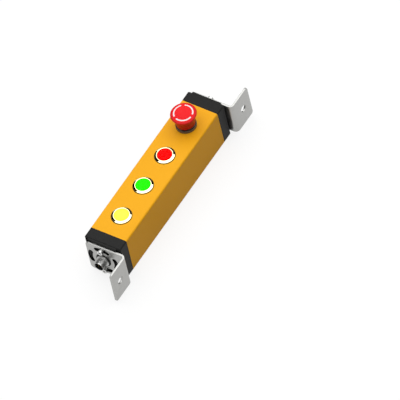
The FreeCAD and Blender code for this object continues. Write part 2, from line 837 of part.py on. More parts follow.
def pushbutton(colour, x):
    """One lit pushbutton: bezel and barrel, nut, lens with its light guide, switch and terminals."""
    thread = size("button_hole") / 2 - size("seat_gap")
    height = size("bezel_height")
    bore = size("lens_diameter") / 2 + size("lens_gap")
    barrel_foot = -size("barrel_depth")
    device(f"{colour}_bezel", revolved(f"{colour}_bezel", [
        (bore, height), (size("bezel_flat") / 2, height), (size("bezel_diameter") / 2, ZERO),
        (thread, ZERO), (thread, barrel_foot), (bore, barrel_foot),
    ]), x)
    panel_nut(colour, x, thread, size("button_nut_flats"))
    lens = revolved(f"{colour}_lens", [
        (ZERO, -size("lens_skirt")), (size("lens_diameter") / 2, -size("lens_skirt")),
        (size("lens_diameter") / 2, height), (ZERO, height),
    ])
    guide = new_sketch(lens, "guide", "XY_Plane", lift=-size("guide_length"))
    rectangle(guide, 0, 0, size("guide_width"), size("guide_width"))
    pad(lens, guide, size("guide_length") - size("lens_skirt"))
    device(f"{colour}_lens", lens, x)
    switch = new_body(f"{colour}_switch")
    switch_foot = barrel_foot - size("switch_height")
    spigot_top = barrel_foot + size("spigot_length")
    base = new_sketch(switch, "base", "XY_Plane", lift=switch_foot)
    rectangle(base, 0, 0, size("switch_width"), size("switch_width"))
    pad(switch, base, size("switch_height"))
    spigot = new_sketch(switch, "spigot", "XY_Plane", lift=barrel_foot)
    rectangle(spigot, 0, 0, size("spigot_width"), size("spigot_width"))
    pad(switch, spigot, size("spigot_length"))
    well = new_sketch(switch, "well", "XY_Plane", lift=spigot_top)
    well_width = size("guide_width") + 2 * size("guide_gap")
    rectangle(well, 0, 0, well_width, well_width)
    pocket(switch, well, spigot_top + size("guide_length") + size("button_travel") + size("guide_gap"))
    device(f"{colour}_switch", switch, x)
    blades(f"{colour}_terminals", x, switch_foot)


def panel_nut(device_name, x, thread, flats):
    """A thin hexagon nut that holds a device from behind the panel."""
    nut = new_body(f"{device_name}_nut")
    section = new_sketch(nut, "section", "XY_Plane", lift=-size("wall") - size("nut_thickness"))
    hexagon(section, flats)
    circle(section, 0, 0, 2 * (thread + size("seat_gap")))
    pad(nut, section, size("nut_thickness"))
    device(f"{device_name}_nut", nut, x)


def stop_barrel(x):
    """The fixed part of the emergency stop: threaded barrel, dark collar and the sleeve inside the knob."""
    thread = size("stop_hole") / 2 - size("stop_thread_gap")
    collar = size("collar_diameter") / 2
    collar_bore = collar - size("collar_wall")
    sleeve = size("sleeve_diameter") / 2
    bore = sleeve - size("sleeve_wall")
    stem_bore = size("stop_stem_diameter") / 2 + size("stem_gap")
    foot = -size("stop_barrel_depth")
    device("stop_barrel", revolved("stop_barrel", [
        (collar, size("seal_thickness")), (collar, size("collar_height")),
        (collar_bore, size("collar_height")), (collar_bore, size("collar_floor")),
        (sleeve, size("collar_floor")), (sleeve, size("sleeve_height")), (bore, size("sleeve_height")),
        (bore, ZERO), (stem_bore, ZERO), (stem_bore, foot), (thread, foot),
        (thread, size("seal_thickness")),
    ]), x)
    device("stop_seal", revolved("stop_seal", ring_points(
        thread + size("seat_gap"), collar - size("seal_inset"), ZERO, size("seal_thickness"))), x)
    panel_nut("stop", x, thread, size("stop_nut_flats"))


def stop_knob(x):
    """The red mushroom: a hollow neck that slides into the collar, and a flared head."""
    neck = size("neck_diameter") / 2
    inner = neck - size("neck_wall")
    edge = size("head_diameter") / 2
    bevel = size("head_bevel")
    stem = size("stop_stem_diameter") / 2 + size("seat_gap")
    stem_top = size("head_hollow_top") + size("stem_seat")
    device("stop_knob", revolved("stop_knob", [
        (ZERO, stem_top), (stem, stem_top), (stem, size("head_hollow_top")),
        (inner, size("head_hollow_top")), (inner, size("neck_bottom")),
        (neck, size("neck_bottom")), (neck, size("neck_straight")),
        (size("neck_top_diameter") / 2, size("neck_top")),
        (edge, size("head_under")), (edge, size("head_edge")),
        (edge - bevel, size("head_edge") + bevel),
        (size("head_flat") / 2, size("head_top")), (ZERO, size("head_top")),
    ]), x)


def stop_inside(x):
    """The stem, spring, contact block and terminals of the emergency stop."""
    stem = size("stop_stem_diameter") / 2
    barrel_foot = -size("stop_barrel_depth")
    foot = barrel_foot - size("stop_stem_reach")
    stem_top = size("head_hollow_top") + size("stem_seat")
    device("stop_stem", revolved("stop_stem", [
        (ZERO, foot), (stem, foot), (stem, stem_top), (ZERO, stem_top)]), x)
    coil_spring("stop_spring", x, size("spring_diameter"), size("spring_wire"),
                ZERO, size("head_hollow_top"))
    block = new_body("contact_block")
    low = barrel_foot - size("contact_height")
    base = new_sketch(block, "base", "XY_Plane", lift=low)
    rectangle(base, 0, 0, size("contact_width"), size("contact_width"))
    pad(block, base, size("contact_height"))
    well = new_sketch(block, "well", "XY_Plane", lift=barrel_foot)
    well_width = size("stop_stem_diameter") + 2 * size("stem_gap")
    rectangle(well, 0, 0, well_width, well_width)
    pocket(block, well, size("stop_stem_reach") + size("stop_travel") + size("stem_gap"))
    device("contact_block", block, x)
    blades("stop_terminals", x, low)


def check_and_export():
    """Stops on any failed feature or bad solid, then writes one file for each node."""
    doc.recompute()
    for item in doc.Objects:
        if "Invalid" in item.State or "Error" in item.State:
            raise RuntimeError(f"{item.Name} failed: {item.State}")
    os.makedirs("parts", exist_ok=True)
    for name, feature in nodes.items():
        shape = feature.Shape
        if shape.isNull() or not shape.isValid():
            raise RuntimeError(f"{name} has no valid shape")
        shape.exportStep(f"parts/{name}.step")
    print(f"{len(nodes)} nodes written")


swivel_bracket("bracket_far", NO_TURN)
swivel_bracket("bracket_near", HALF_TURN_Y)
housing_profile()
for end, side in ENDS.items():
    turn = NO_TURN if side > 0 else HALF_TURN_Z
    gasket(f"gasket_{end}", turn)
    end_cap(f"end_cap_{end}", side, turn)
cap_screws()
clamp_screws()
tail_x = plug_parts()
circuit_board()
header_and_ribbon(tail_x)
for colour, place_x in button_places().items():
    pushbutton(colour, place_x)
stop_barrel(stop_place())
stop_knob(stop_place())
stop_inside(stop_place())
check_and_export()
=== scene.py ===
# %% [markdown]
# # A slim control station, dressed for its portrait
# The object is a powder coated box with three lit pushbuttons and a red mushroom head, black
# end caps, steel brackets and a round plug. Its solids come packed from the CAD model, and
# this lesson gives them their looks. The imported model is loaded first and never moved: every
# new piece is laid where the solids say, so nothing has to be fitted by eye.

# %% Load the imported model
import json
import math
import bpy
import bmesh
from mathutils import Matrix, Vector

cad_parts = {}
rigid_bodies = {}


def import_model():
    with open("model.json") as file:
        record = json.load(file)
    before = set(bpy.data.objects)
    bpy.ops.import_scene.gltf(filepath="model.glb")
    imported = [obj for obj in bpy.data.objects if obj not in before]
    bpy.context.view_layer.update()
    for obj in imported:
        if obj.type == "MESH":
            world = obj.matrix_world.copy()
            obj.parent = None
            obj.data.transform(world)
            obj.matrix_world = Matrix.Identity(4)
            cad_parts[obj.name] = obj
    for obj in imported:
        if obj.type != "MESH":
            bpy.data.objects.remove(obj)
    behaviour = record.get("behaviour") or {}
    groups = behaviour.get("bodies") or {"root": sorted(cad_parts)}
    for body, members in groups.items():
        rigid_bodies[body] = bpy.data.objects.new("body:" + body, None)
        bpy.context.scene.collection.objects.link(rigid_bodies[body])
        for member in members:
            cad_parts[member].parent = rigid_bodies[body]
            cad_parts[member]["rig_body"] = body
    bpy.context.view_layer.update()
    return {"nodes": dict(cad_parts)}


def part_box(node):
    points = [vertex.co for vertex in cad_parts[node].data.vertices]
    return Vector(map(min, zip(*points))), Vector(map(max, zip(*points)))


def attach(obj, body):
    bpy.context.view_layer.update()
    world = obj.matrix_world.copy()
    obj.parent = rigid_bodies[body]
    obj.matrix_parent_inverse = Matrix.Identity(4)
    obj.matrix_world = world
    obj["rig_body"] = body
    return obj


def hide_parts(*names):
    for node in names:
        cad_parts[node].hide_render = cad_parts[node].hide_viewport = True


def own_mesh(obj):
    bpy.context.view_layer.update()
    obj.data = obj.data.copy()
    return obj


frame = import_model()
MM = 0.001

# %% [markdown]
# Lengths on such a product are thought of in millimetres, while Blender works in metres. The
# front of the box and the line through its middle are read from the solids. They place all
# the buttons, so they are found once here.

# %% Find the front of the box and its middle line
box_low, box_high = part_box("housing_profile")
FRONT = box_high.z
MIDDLE = (box_low.y + box_high.y) / 2
FLOOR = box_low.z
DEVICES = {name: (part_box(name)[0].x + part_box(name)[1].x) / 2
           for name in ("yellow_bezel", "green_bezel", "red_bezel", "stop_knob")}
print("front at", round(FRONT / MM, 2), "mm, buttons at",
      [round(x / MM, 1) for x in DEVICES.values()])

# %% [markdown]
# ## The camera
# The portrait is taken from far away with a long lens, so parallel edges stay parallel. An
# orthographic camera does the same, and its scale is simply the width that it sees. Its
# direction is given as a compass angle, a height above the horizon and a roll. Those three
# turn into the camera's own right, up and back arrows, which are the columns of its matrix.

# %% Place the camera
AZIMUTH, ELEVATION, ROLL = math.radians(-47.10), math.radians(51.42), math.radians(-14.31)
PIXELS = 400
PIXELS_PER_MM = 0.9058
ANCHOR = Vector((0, MIDDLE, FRONT))
ANCHOR_PIXEL = (154.0, 170.6)
CAMERA_BACK, CLIP_END = 1.2, 20

back = Vector((math.sin(AZIMUTH) * math.cos(ELEVATION),
               -math.cos(AZIMUTH) * math.cos(ELEVATION), math.sin(ELEVATION)))
level = Vector((0, 0, 1)).cross(back).normalized()
rise = back.cross(level)
right = math.cos(ROLL) * level + math.sin(ROLL) * rise
up = -math.sin(ROLL) * level + math.cos(ROLL) * rise

across = (PIXELS / 2 - ANCHOR_PIXEL[0]) / PIXELS_PER_MM * MM
down = (PIXELS / 2 - ANCHOR_PIXEL[1]) / PIXELS_PER_MM * MM
target = ANCHOR + across * right - down * up

camera_data = bpy.data.cameras.new("portrait")
camera_data.type = "ORTHO"
camera_data.ortho_scale = PIXELS / PIXELS_PER_MM * MM
camera_data.clip_end = CLIP_END
camera = bpy.data.objects.new("portrait", camera_data)
camera.matrix_world = Matrix.Translation(target + CAMERA_BACK * back) @ Matrix(
    (right, up, back)).transposed().to_4x4()
bpy.context.scene.collection.objects.link(camera)
bpy.context.scene.camera = camera
bpy.context.scene.view_settings.view_transform = "Standard"
print("the camera sees", round(camera_data.ortho_scale, 4), "m across")

# %% [markdown]
# ## Shader maths as plain sums
# A finish is a small network of nodes. Written node by node it is long and hard to read, so a
# socket is wrapped in a class of its own whose operators add the Math nodes: `1 - mask` then
# means what it says. Colours never go through a Math node, which would turn them grey. One
# method makes any other node from its type, its settings and its sockets.

# %% Wrap sockets and node trees
class Signal:
    """An output socket that can be used in sums."""

    def __init__(self, wiring, socket):
        self.wiring, self.socket = wiring, socket

    def maths(self, operation, *operands):
        return self.wiring.node("Math", {"operation": operation}, dict(enumerate(operands)))

    def __add__(self, other):
        return self.maths("ADD", self, other)

    def __sub__(self, other):
        return self.maths("SUBTRACT", self, other)

    def __rsub__(self, other):
        return self.maths("SUBTRACT", other, self)

    def __mul__(self, other):
        return self.maths("MULTIPLY", self, other)

    def __pow__(self, other):
        return self.maths("POWER", self, other)

    def clamped(self):
        return self.maths("MAXIMUM", self.maths("MINIMUM", self, 1.0), 0.0)


class Wiring:
    """A node tree that is wired by calls."""

    def __init__(self, tree):
        self.tree = tree

    def node(self, kind, settings=(), sockets=(), out=0):
        made = self.tree.nodes.new("ShaderNode" + kind)
        for key, value in dict(settings).items():
            setattr(made, key, value)
        for key, value in dict(sockets).items():
            self.feed(made.inputs[key], value)
        return Signal(self, made.outputs[out])

    def feed(self, socket, value):
        if isinstance(value, Signal):
            self.tree.links.new(value.socket, socket)
        else:
            socket.default_value = value


print("sums on sockets are ready")

# %% [markdown]
# ## Floor, room and lamps
# The portrait has a pure white ground. Lighting a floor until it is white would also burn out
# the object, so the floor looks white only to the eye and to reflections, and gives plain
# light back to the object. A little of its true shading stays in the mix, and with it the
# object's soft shadow.

# %% Lay the floor
FLOOR_HALF = 3.0
FLOOR_GLOW, GLOW_SHARE = 1.03, 0.78


def seen(wiring):
    """1 for rays from the camera, from a reflection or through glass, and 0 for the rest."""
    shares = [wiring.node("LightPath", out=name)
              for name in ("Is Camera Ray", "Is Glossy Ray", "Is Transmission Ray")]
    return (shares[0] + shares[1] + shares[2]).clamped()


def plane(name, centre, along, upward):
    """A flat stage piece from its centre and two half sides."""
    data = bpy.data.meshes.new(name)
    corners = [centre + a * along + b * upward for a, b in ((-1, -1), (1, -1), (1, 1), (-1, 1))]
    data.from_pydata(corners, [], [(0, 1, 2, 3)])
    made = bpy.data.objects.new(name, data)
    bpy.context.scene.collection.objects.link(made)
    return made


paper = bpy.data.materials.new("white_paper_floor")
paper.use_nodes = True
paper.node_tree.nodes.clear()
wires = Wiring(paper.node_tree)
to_object = wires.node("BsdfDiffuse", sockets={"Color": (0.27, 0.27, 0.27, 1)})
shaded = wires.node("BsdfDiffuse", sockets={"Color": (0.95, 0.95, 0.95, 1)})
glow = wires.node("Emission", sockets={"Color": (1, 1, 1, 1), "Strength": FLOOR_GLOW})
to_eye = wires.node("MixShader", sockets={0: GLOW_SHARE, 1: shaded, 2: glow})
floor_look = wires.node("MixShader", sockets={0: seen(wires), 1: to_object, 2: to_eye})
surface = paper.node_tree.nodes.new("ShaderNodeOutputMaterial")
wires.feed(surface.inputs["Surface"], floor_look)
floor = plane("floor", Vector((0, MIDDLE, FLOOR)), Vector((FLOOR_HALF, 0, 0)),
              Vector((0, FLOOR_HALF, 0)))
floor.data.materials.append(paper)
print("floor at", round(FLOOR / MM, 1), "mm")

# %% [markdown]
# The light is that of a bright studio: a wide lamp high over the front, and a pale room that
# adds about a quarter of the light. The front of the box then shows its colour about as it is
# written, and the long side turned to the viewer falls off to a third.

# %% Hang the lamp and fill the room
ROOM_LIGHT, FULL_LIGHT, LAMP_WIDTH = 0.24, 1.03, 95
room = bpy.data.worlds.new("pale_room")
room.use_nodes = True
bpy.context.scene.world = room
wires = Wiring(room.node_tree)
strength = seen(wires) * (1 - ROOM_LIGHT) + ROOM_LIGHT
wires.feed(room.node_tree.nodes["Background"].inputs["Strength"], strength)
room.node_tree.nodes["Background"].inputs["Color"].default_value = (1, 1, 1, 1)

LAMP_FROM = Vector((0.22, 0.12, 1.0)).normalized()
lamp_data = bpy.data.lights.new("wide_lamp", "SUN")
lamp_data.energy = (FULL_LIGHT - ROOM_LIGHT) * math.pi / LAMP_FROM.z
lamp_data.angle = math.radians(LAMP_WIDTH)
lamp = bpy.data.objects.new("wide_lamp", lamp_data)
lamp.rotation_euler = LAMP_FROM.to_track_quat("Z", "Y").to_euler()
bpy.context.scene.collection.objects.link(lamp)
print("lamp", round(lamp_data.energy, 3), "room", ROOM_LIGHT)

# %% [markdown]
# Polished metal shows its surroundings and little else. In an all white room the rings round
# the buttons would vanish, so a photographer stands black cards beside the table. Their
# reflections are the dark crescents with sharp ends on the rings. They are hidden from
# everything but reflections. Each card has its compass angle, half its width and its top edge,
# all in degrees as seen from the box.

# %% Stand two black cards
black_card = bpy.data.materials.new("black_card")
black_card.use_nodes = True
card_shader = black_card.node_tree.nodes["Principled BSDF"]
card_shader.inputs["Base Color"].default_value = (0, 0, 0, 1)
card_shader.inputs["Specular IOR Level"].default_value = 0
CARDS = {"card_far_side": (92, 33, 58), "card_far_end": (8, 24, 40)}
for name, (compass, half_width, top) in CARDS.items():
    outward = Vector((math.cos(math.radians(compass)), math.sin(math.radians(compass)), 0))
    half_height = math.tan(math.radians(top)) / 2
    centre = Vector((0, MIDDLE, FRONT)) + outward + Vector((0, 0, half_height))
    side = Vector((0, 0, 1)).cross(outward) * math.tan(math.radians(half_width))
    card = plane(name, centre, side, Vector((0, 0, half_height)))
    card.data.materials.append(black_card)
    for hidden in ("camera", "diffuse", "shadow", "transmission", "volume_scatter"):
        setattr(card, "visible_" + hidden, False)
print(len(CARDS), "cards stand beside the table")

# %% [markdown]
# ## Finishes
# Each finish starts from a principled shader. Values that are the same all over go straight
# on its sockets. What varies is worked out from the piece's own coordinates, in metres, so a
# noise of scale 1000 has grains of about a millimetre. Rounded edges catch light on every real
# part: the Bevel node gives their normals, and where they differ from the flat normals lies
# the edge, which is the mask for wear and, on the steel, for painted highlights.

# %% Build the ground of every finish
BEVEL_SAMPLES = 6


class Finish(Wiring):
    """A material with a principled shader and the measures that finishes share."""

    def __init__(self, name, edge, steady):
        self.material = bpy.data.materials.new(name)
        self.material.use_nodes = True
        super().__init__(self.material.node_tree)
        self.shader = self.tree.nodes["Principled BSDF"]
        for socket, value in steady.items():
            self.shader.inputs[socket].default_value = value
        self.spot = self.node("TexCoord", out="Object")
        self.soft = self.node("Bevel", {"samples": BEVEL_SAMPLES}, {"Radius": edge * MM})

    def noise(self, scale, detail=3.0, rough=0.5, at=None):
        return self.node("TexNoise", {}, {"Vector": at or self.spot, "Scale": scale,
                                          "Detail": detail, "Roughness": rough})

    def stretched(self, x, y, z):
        return self.node("Mapping", {}, {"Vector": self.spot, "Scale": (x, y, z)})

    def radius(self):
        """Distance from the piece's own upright axis, in metres."""
        flat = self.node("VectorMath", {"operation": "MULTIPLY"}, {0: self.spot, 1: (1, 1, 0)})
        return self.node("VectorMath", {"operation": "LENGTH"}, {0: flat}, out="Value")

    def edges(self, gain):
        """0 on flats, rising to 1 along edges."""
        flat = self.node("NewGeometry", out="Normal")
        same = self.node("VectorMath", {"operation": "DOT_PRODUCT"},
                         {0: self.soft, 1: flat}, out="Value")
        return ((1 - same) * gain).clamped()

    def along_box(self):
        """How far the surface faces along the box, from -1 to 1."""
        return self.node("SeparateXYZ", sockets={0: self.node("NewGeometry", out="Normal")})

    def tint(self, share, first, second):
        """One colour turning into another as share goes from 0 to 1."""
        return self.node("Mix", {"data_type": "RGBA"}, {0: share, 6: first, 7: second}, out=2)

    def relief(self, height, depth):
        """A bump of that depth in millimetres, on top of the rounded edges."""
        normal = self.node("Bump", {}, {"Height": height, "Strength": 1.0,
                                        "Distance": depth * MM, "Normal": self.soft})
        self.vary("Normal", normal)

    def vary(self, socket, signal):
        self.feed(self.shader.inputs[socket], signal)


FINISHES = {}
print("the ground of the finishes is laid")

# %% [markdown]
# Powder coat is melted plastic powder. It flows into a soft skin with the slight waves of an
# orange's peel, a millimetre or two across, and it is thinner and paler along the edges.

# %% Orange powder coat
coat = Finish("orange_powder_coat_on_aluminium", 0.5, {"Specular IOR Level": 0.1})
waves = coat.noise(620, 2.0)
grain = coat.noise(3400, 2.0)
clouds = coat.noise(24, 3.0)
worn = coat.edges(1.6) * coat.noise(380, 4.0)
body_colour = coat.tint(clouds, (0.96, 0.455, 0.013, 1), (0.92, 0.425, 0.011, 1))
coat.vary("Base Color", coat.tint(worn * 0.45, body_colour, (1.0, 0.60, 0.10, 1)))
coat.vary("Roughness", waves * 0.12 + grain * 0.06 + 0.36)
coat.relief(waves * 0.8 + grain * 0.2, 0.035)
FINISHES["orange_powder_coat"] = coat.material
print(coat.material.name)

# %% [markdown]
# The caps are glass filled plastic from a spark eroded mould, which leaves a dense matt grain
# of a few tenths of a millimetre. Corners rub a little shiny and grey. The grey plastic of the
# hidden switch blocks and the brownish one of the mushroom head's collar come from the same
# process with a finer grain.

# %% Black and grey mouldings
def moulding(name, dark, pale, rough, speck):
    """A matt moulded plastic between two tones."""
    made = Finish(name, 0.35, {"Specular IOR Level": 0.15})
    pits = made.noise(speck, 3.0, 0.65)
    patches = made.noise(55, 3.0)
    rubbed = made.edges(1.8)
    skin = made.tint(patches * 0.6 + pits * 0.4, (*dark, 1), (*pale, 1))
    rim = tuple(min(1.0, 3.0 * tone) for tone in pale)
    made.vary("Base Color", made.tint(rubbed * 0.5, skin, (*rim, 1)))
    made.vary("Roughness", pits * 0.16 + rough - rubbed * 0.12)
    made.relief(pits, 0.03)
    return made.material


FINISHES["black_moulding"] = moulding(
    "black_spark_eroded_plastic", (0.007, 0.007, 0.0068), (0.013, 0.013, 0.0122), 0.44, 2300)
FINISHES["grey_moulding"] = moulding(
    "grey_switch_plastic", (0.14, 0.14, 0.145), (0.20, 0.20, 0.21), 0.42, 3600)
COLLAR_PLASTIC = moulding(
    "dark_collar_plastic", (0.12, 0.092, 0.068), (0.17, 0.135, 0.10), 0.34, 3000)
print([FINISHES[name].name for name in ("black_moulding", "grey_moulding")])

# %% [markdown]
# The brackets are zinc plated sheet. The rolling grain runs one way and plating keeps it, so
# the noise is stretched sixtyfold along the grain. Zinc also dulls in faint patches. Edges away
# from the slots get a painted highlight. The walls of the punched slots and of the eye get
# painted shade, nearly black: the shader finds them by their distance from the swivel axis and
# by where they face. The clamp screws are forged, so their steel has no grain; their edges get
# a painted highlight, and their knurled sides a painted dark reflection. The screws that hold
# the caps are blackened.

# %% Plated steel
SHADED_WALL_REACH = 20.0
steel = Finish("zinc_plated_steel", 0.3, {"Metallic": 1.0})
rolled = steel.noise(1.0, 3.0, 0.6, steel.stretched(2600, 2600, 40))
patches = steel.noise(130, 4.0, 0.6)
metal = steel.tint(patches * 0.5 + rolled * 0.5, (0.34, 0.34, 0.33, 1), (0.47, 0.47, 0.455, 1))
from_axis = steel.node("VectorMath", {"operation": "SUBTRACT"},
                       {0: steel.spot, 1: (0, MIDDLE, 0)})
from_axis = steel.node("VectorMath", {"operation": "MULTIPLY"}, {0: from_axis, 1: (0, 1, 1)})
reach = steel.node("VectorMath", {"operation": "LENGTH"}, {0: from_axis}, out="Value")
facing = steel.along_box()
inside = reach.maths("LESS_THAN", reach, SHADED_WALL_REACH * MM)
# Painted highlight: edges away from the slots are tinted near white, as if catching light.
painted_rim_highlight = steel.tint(steel.edges(2.4) * (1 - inside), metal, (0.88, 0.88, 0.86, 1))
# Painted shade: the walls of the slots and the eye are tinted nearly black.
slot_wall_shade = (1 - facing * facing).clamped() * inside
steel.vary("Base Color", steel.tint(slot_wall_shade * 0.94, painted_rim_highlight, (0.03, 0.03, 0.029, 1)))
steel.vary("Roughness", rolled * 0.16 + patches * 0.12 + 0.20)
steel.relief(rolled, 0.008)
FINISHES["plated_steel"] = steel.material

SCREW_STEEL = Finish("plated_screw_steel", 0.15, {"Metallic": 1.0})
forged = SCREW_STEEL.noise(1500, 3.0)
soot = SCREW_STEEL.noise(420, 3.0)
lit_edge = SCREW_STEEL.edges(2.0)
blank = SCREW_STEEL.tint(soot, (0.62, 0.62, 0.61, 1), (0.82, 0.82, 0.81, 1))
blank = SCREW_STEEL.tint(lit_edge, blank, (0.85, 0.85, 0.84, 1))
end_on = SCREW_STEEL.along_box()
# Painted dark reflection: sides facing across the box are tinted dark.
knurled = (1 - end_on * end_on).clamped()
SCREW_STEEL.vary("Base Color", SCREW_STEEL.tint(knurled * 0.3, blank, (0.06, 0.06, 0.058, 1)))
SCREW_STEEL.vary("Roughness", soot * 0.2 + 0.18)
SCREW_STEEL.relief(forged, 0.01)

BLACKENED_STEEL = Finish("blackened_screw_steel", 0.15, {"Metallic": 1.0})
oiled = BLACKENED_STEEL.noise(700, 3.0)
BLACKENED_STEEL.vary("Base Color", BLACKENED_STEEL.tint(
    oiled, (0.020, 0.020, 0.021, 1), (0.045, 0.043, 0.041, 1)))
BLACKENED_STEEL.vary("Roughness", oiled * 0.25 + 0.35)
BLACKENED_STEEL.relief(oiled, 0.01)
print([made.material.name for made in (steel, SCREW_STEEL, BLACKENED_STEEL)])

# %% [markdown]
# The rings round the buttons are turned and then polished, so what grain is left runs round
# the axis, far finer than a hair. Fingers leave a few dull smears. The round plug is nickel on
# brass, a duller metal with the same turned grain, and its pins are gold plated, with their gold
# tinted far darker as painted shade of the deep bore they stand in.

# %% Turned metals
def turned_metal(name, tone, other_tone, rough, groove):
    """A metal with fine grooves round the piece's axis."""
    made = Finish(name, 0.12, {"Metallic": 1.0})
    rings = made.noise(1.0, 2.0, 0.6, made.node(
        "CombineXYZ", {}, {0: made.radius() * 9000.0}))
    smears = made.noise(210, 3.0)
    made.vary("Base Color", made.tint(smears, (*tone, 1), (*other_tone, 1)))
    made.vary("Roughness", smears * rough + rings * rough * 0.5 + rough * 0.4)
    made.relief(rings, groove)
    return made.material


FINISHES["polished_ring"] = turned_metal(
    "polished_ring_metal", (0.93, 0.89, 0.56), (0.89, 0.85, 0.51), 0.05, 0.0006)
FINISHES["nickel_plated_brass"] = turned_metal(
    "nickel_on_brass", (0.46, 0.46, 0.455), (0.40, 0.40, 0.39), 0.30, 0.001)
# Painted shade: the pins' gold is tinted dark for the shade inside the plug.
FINISHES["gold_contacts"] = turned_metal(
    "gold_plated_pins", (0.38, 0.26, 0.10), (0.31, 0.21, 0.075), 0.26, 0.001)
print("ring, plug and pin metals")

# %% [markdown]
# The gaskets are soft moulded rubber: nearly black, dull, with a bloom of pale dust.

# %% Rubber
rubber = Finish("gasket_rubber", 0.2, {"Specular IOR Level": 0.2})
bloom = rubber.noise(700, 4.0, 0.7)
rubber.vary("Base Color", rubber.tint(bloom, (0.006, 0.006, 0.006, 1), (0.022, 0.022, 0.021, 1)))
rubber.vary("Roughness", bloom * 0.2 + 0.66)
rubber.relief(bloom, 0.02)
FINISHES["black_rubber"] = rubber.material
print(rubber.material.name)

# %% [markdown]
# A lit lens is clear coloured plastic over a lamp. The light spreads in the plastic, a touch
# brighter over the lamp in the middle, so the colour glows by itself and the face keeps a
# polish. Fine rings moulded into the back show through as the faintest ripple. A true
# scattering plastic would cost much time for so small a disc, so emission stands for it.

# %% Lit lenses
LENS_RADIUS, LENS_SKIRT = 8.65, 8.2
RIPPLE, LENS_GLOW = 0.55, 0.75
LIT = {"yellow": ((0.64, 0.57, 0.022), (0.66, 0.65, 0.085)),
       "green": ((0.006, 0.58, 0.001), (0.016, 0.72, 0.002)),
       "red": ((0.60, 0.0, 0.0), (0.74, 0.001, 0.001))}


def lit_lens(name, rim, core):
    """Coloured plastic lit from behind, with its rim and core colours."""
    made = Finish(name, 0.2, {"Specular IOR Level": 0.03, "Emission Strength": LENS_GLOW})
    outward = (made.radius() * (1 / (LENS_RADIUS * MM))).clamped() ** 2.5
    mottle = made.noise(420, 2.0)
    phase = made.radius() * (2 * math.pi / (RIPPLE * MM))
    ripple = phase.maths("SINE", phase)
    glow_colour = made.tint(outward * 0.85 + mottle * 0.15, (*core, 1), (*rim, 1))
    made.vary("Emission Color", glow_colour)
    made.vary("Base Color", made.tint(mottle, (*rim, 1), (*core, 1)))
    made.vary("Roughness", mottle * 0.05 + 0.16)
    made.relief(ripple, 0.002)
    return made.material


for colour, (rim, core) in LIT.items():
    FINISHES[f"{colour}_lens"] = lit_lens(f"{colour}_lit_lens", rim, core)
print([FINISHES[f"{colour}_lens"].name for colour in LIT])

# %% [markdown]
# The mushroom head is bright red thermoplastic with a satin skin. Hands polish its edges. Its
# brim is tinted a deeper red than the crown as painted shade, and its neck deeper still as the
# painted shadow of the head above it. The marks are printed in white paint that has a slight
# tooth.

# %% Red head and white print
NECK_TOP, NECK_FADE, BRIM, BRIM_FADE = 20.5, 4.5, 12.0, 1.5
head = Finish("red_head_plastic", 0.3, {"Specular IOR Level": 0.15})
handled = head.noise(90, 4.0, 0.6)
skin = head.noise(2600, 2.0)
shine = head.edges(2.0)
height = head.node("SeparateXYZ", sockets={0: head.spot}, out="Z")
# Painted shadow: the neck is tinted darker below NECK_TOP, where the head above shades it.
neck_shadow = ((NECK_TOP * MM - height) * (1 / (NECK_FADE * MM))).clamped()
red = head.tint(handled, (0.97, 0.008, 0.012, 1), (0.86, 0.005, 0.008, 1))
# Painted shade: the brim outside BRIM is tinted a deeper red.
brim_shade = ((head.radius() - BRIM * MM) * (1 / (BRIM_FADE * MM))).clamped()
red = head.tint(brim_shade, red, (0.72, 0.011, 0.012, 1))
head.vary("Base Color", head.tint(neck_shadow, red, (0.49, 0.009, 0.010, 1)))
head.vary("Roughness", handled * 0.12 + skin * 0.08 - shine * 0.1 + 0.24)
head.relief(skin, 0.012)
FINISHES["red_knob"] = head.material

print_white = Finish("white_print", 0.1, {"Specular IOR Level": 0.3})
tooth = print_white.noise(3000, 3.0)
thin = print_white.noise(600, 4.0)
print_white.vary("Base Color", print_white.tint(
    thin ** 3.0, (0.93, 0.90, 0.90, 1), (0.85, 0.78, 0.77, 1)))
print_white.vary("Roughness", tooth * 0.2 + 0.4)
print_white.relief(tooth, 0.01)
print(head.material.name, print_white.material.name)

# %% [markdown]
# The board inside is glass cloth under green lacquer. The weave shows as faint bands, and
# copper tracks lie under the lacquer as slightly paler lines.

# %% Circuit board
board = Finish("green_board_lacquer", 0.1, {"Specular IOR Level": 0.5})
weave = board.node("TexWave", {"wave_type": "BANDS"}, {"Vector": board.spot, "Scale": 260.0})
tracks = board.node("TexVoronoi", {"feature": "DISTANCE_TO_EDGE"},
                    {"Vector": board.stretched(1, 2, 1), "Scale": 120.0})
track = (1 - tracks * 9.0).clamped()
lacquer = board.tint(weave * 0.4, (0.006, 0.085, 0.028, 1), (0.010, 0.11, 0.036, 1))
board.vary("Base Color", board.tint(track * 0.6, lacquer, (0.03, 0.20, 0.06, 1)))
board.vary("Roughness", weave * 0.1 + 0.3)
board.relief(track + weave * 0.2, 0.02)
FINISHES["green_board"] = board.material
print(len(FINISHES), "finishes for the record's slots")

# %% [markdown]
# ## Dressing the solids
# Solids whose shape is right stay as they are and only get their finish. Each carries a
# material named after its slot in the record, so one loop exchanges them all, inside and out.
# Only the screws of the caps leave their slot's finish for the blackened one.

# %% Give every solid its finish
BLACKENED = ("cap_screws_near", "cap_screws_far")
for name, node in frame["nodes"].items():
    for place in node.material_slots:
        place.material = (BLACKENED_STEEL.material if name in BLACKENED
                          else FINISHES[place.material.name])
print(len(frame["nodes"]), "solids dressed from", len(FINISHES), "finishes")

